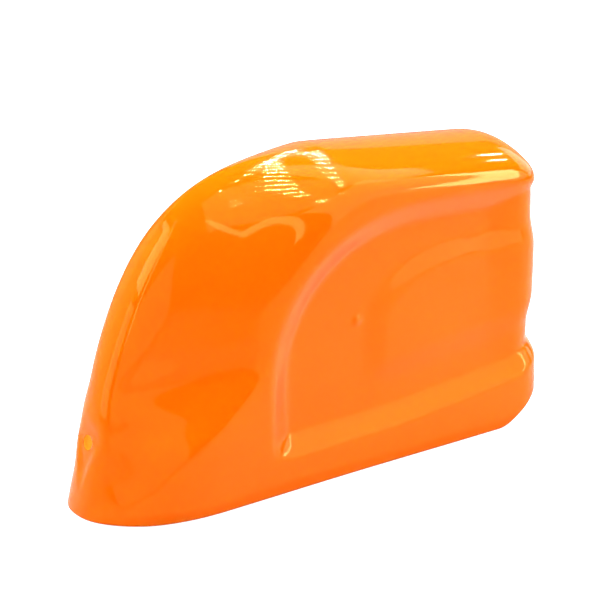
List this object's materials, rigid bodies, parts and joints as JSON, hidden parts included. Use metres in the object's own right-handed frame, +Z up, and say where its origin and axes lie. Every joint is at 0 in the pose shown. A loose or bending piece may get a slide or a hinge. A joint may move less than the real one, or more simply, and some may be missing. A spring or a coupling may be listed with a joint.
{
  "type": "traffic barrier nose cover",
  "caption": "Glossy orange moulded cowl with a rounded nose, humped crown and arched side recesses, lifting off a low steel floor frame.",
  "frame": {"origin": "centre of the bounding box, on the ground under the cowl", "axes": "+X from the rounded nose to the blunt tail, +Y across the cowl, +Z up"},
  "size_m": [0.4076, 0.1198, 0.2466],
  "materials": {
    "orange_shell": "high gloss",
    "bonding_tape": "matte",
    "zinc_steel": "bright zinc plating",
    "galvanised_steel": "dull zinc coating",
    "rubber": "matte"
  },
  "bodies": {
    "frame": {"base_mat": "rubber", "base_plate": "galvanised_steel", "nose_bracket": "zinc_steel", "nose_rivet_nut": "zinc_steel", "tail_keeper": "zinc_steel", "front_hoop": "galvanised_steel", "front_hoop_buffer": "rubber", "rear_hoop": "galvanised_steel", "rear_hoop_buffer": "rubber", "side_guide_front_left": "rubber", "side_guide_front_right": "rubber", "side_guide_rear_left": "rubber", "side_guide_rear_right": "rubber", "guide_screw_front_left": "zinc_steel", "guide_screw_front_right": "zinc_steel", "guide_screw_rear_left": "zinc_steel", "guide_screw_rear_right": "zinc_steel", "stud_nose_bracket_front": "zinc_steel", "stud_nose_bracket_rear": "zinc_steel", "stud_tail_keeper_right": "zinc_steel", "stud_tail_keeper_left": "zinc_steel", "stud_front_hoop_right": "zinc_steel", "stud_front_hoop_left": "zinc_steel", "stud_rear_hoop_right": "zinc_steel", "stud_rear_hoop_left": "zinc_steel", "nut_nose_bracket_front": "zinc_steel", "nut_nose_bracket_rear": "zinc_steel", "nut_tail_keeper_right": "zinc_steel", "nut_tail_keeper_left": "zinc_steel", "nut_front_hoop_right": "zinc_steel", "nut_front_hoop_left": "zinc_steel", "nut_rear_hoop_right": "zinc_steel", "nut_rear_hoop_left": "zinc_steel"},
    "cowl": {"cowl_shell": "orange_shell", "tail_tongue": "zinc_steel", "tongue_bond_pad": "bonding_tape"}
  },
  "joints": [
    {"name": "cowl_lift", "type": "slide", "parent": "frame", "child": "cowl", "axis": [0, 0, 1], "range_m": [0, 0.245]}
  ]
}
